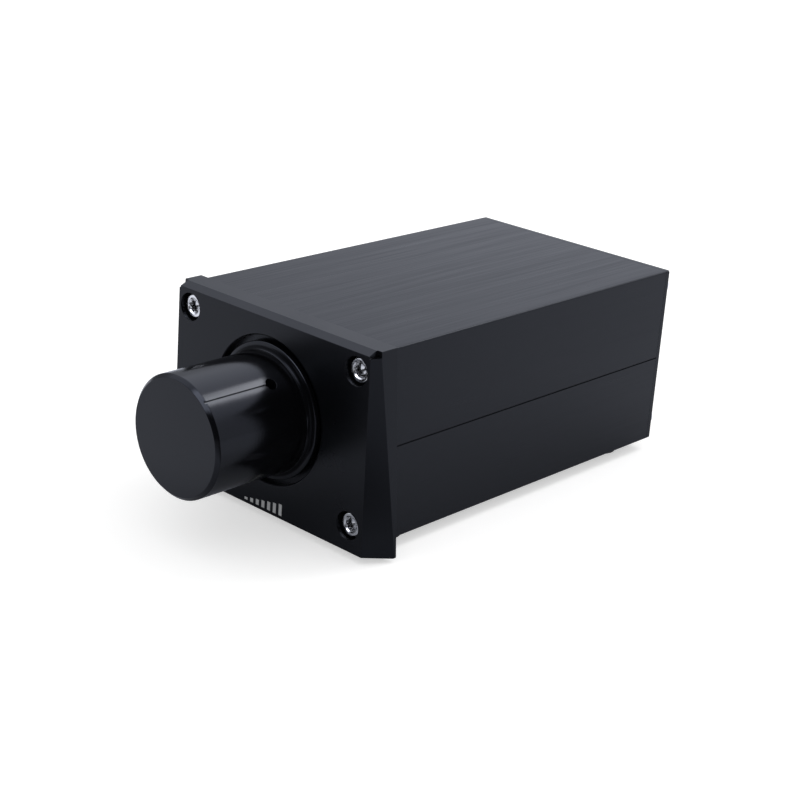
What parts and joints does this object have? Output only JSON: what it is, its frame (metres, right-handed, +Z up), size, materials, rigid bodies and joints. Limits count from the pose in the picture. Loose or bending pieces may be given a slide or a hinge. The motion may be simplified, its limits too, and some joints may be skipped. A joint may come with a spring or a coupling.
{
  "type": "passive volume controller",
  "caption": "Passive audio volume controller: a black aluminium box with a thick front panel, a turned knob on a dual-gang potentiometer and phono sockets at the rear.",
  "frame": {"origin": "under the middle of the bounding box, in the plane of the feet's undersides", "axes": "X runs to the right as seen from the front, Y from the knob to the sockets at the rear and Z up"},
  "size_m": [0.0778, 0.159, 0.0537],
  "materials": {
    "black_anodised": "black anodised, brushed along the depth",
    "steel": "bright",
    "rubber": "matt",
    "black_plastic": "moulded",
    "phenolic": "pressed laminate",
    "spring_brass": "bright",
    "tinned_brass": "tinned",
    "gold_plated_brass": "gold plated",
    "white_plastic": "moulded",
    "red_plastic": "moulded",
    "white_insulation": "extruded",
    "red_insulation": "extruded",
    "grey_insulation": "extruded",
    "tinned_copper": "tinned copper"
  },
  "bodies": {
    "chassis": {"front_panel": "black_anodised", "upper_shell": "black_anodised", "lower_shell": "black_anodised", "rear_panel": "black_anodised", "front_screws": "steel", "rear_screws": "steel", "foot_front_left": "rubber", "foot_front_right": "rubber", "foot_rear_left": "rubber", "foot_rear_right": "rubber", "pot_bushing": "steel", "pot_nut": "steel", "pot_washer": "steel", "front_gang_case": "black_plastic", "rear_gang_case": "black_plastic", "front_gang_wafer": "phenolic", "rear_gang_wafer": "phenolic", "front_gang_terminals": "tinned_brass", "rear_gang_terminals": "tinned_brass", "pot_rear_cover": "steel", "pot_rivets": "steel", "in_left_shell": "gold_plated_brass", "in_right_shell": "gold_plated_brass", "out_left_shell": "gold_plated_brass", "out_right_shell": "gold_plated_brass", "in_left_insulator": "white_plastic", "in_right_insulator": "red_plastic", "out_left_insulator": "white_plastic", "out_right_insulator": "red_plastic", "in_left_contact": "gold_plated_brass", "in_right_contact": "gold_plated_brass", "out_left_contact": "gold_plated_brass", "out_right_contact": "gold_plated_brass", "in_left_lug": "tinned_brass", "in_right_lug": "tinned_brass", "out_left_lug": "tinned_brass", "out_right_lug": "tinned_brass", "socket_outer_washers": "black_plastic", "socket_inner_washers": "black_plastic", "socket_nuts": "steel", "wire_in_left": "white_insulation", "wire_in_right": "red_insulation", "wire_out_left": "white_insulation", "wire_out_right": "red_insulation", "wire_ground_left": "grey_insulation", "wire_ground_right": "grey_insulation", "jumper_left": "tinned_copper", "jumper_right": "tinned_copper"},
    "knob_and_shaft": {"knob": "black_anodised", "knob_set_screw": "steel", "pot_shaft": "steel", "shaft_ring": "steel", "front_gang_rotor": "black_plastic", "rear_gang_rotor": "black_plastic", "front_gang_wiper": "spring_brass", "rear_gang_wiper": "spring_brass"}
  },
  "joints": [
    {"name": "volume", "type": "hinge", "parent": "chassis", "child": "knob_and_shaft", "pos_m": [0, -0.0503, 0.029], "axis": [0, 1, 0], "range_deg": [-190, 110]}
  ]
}
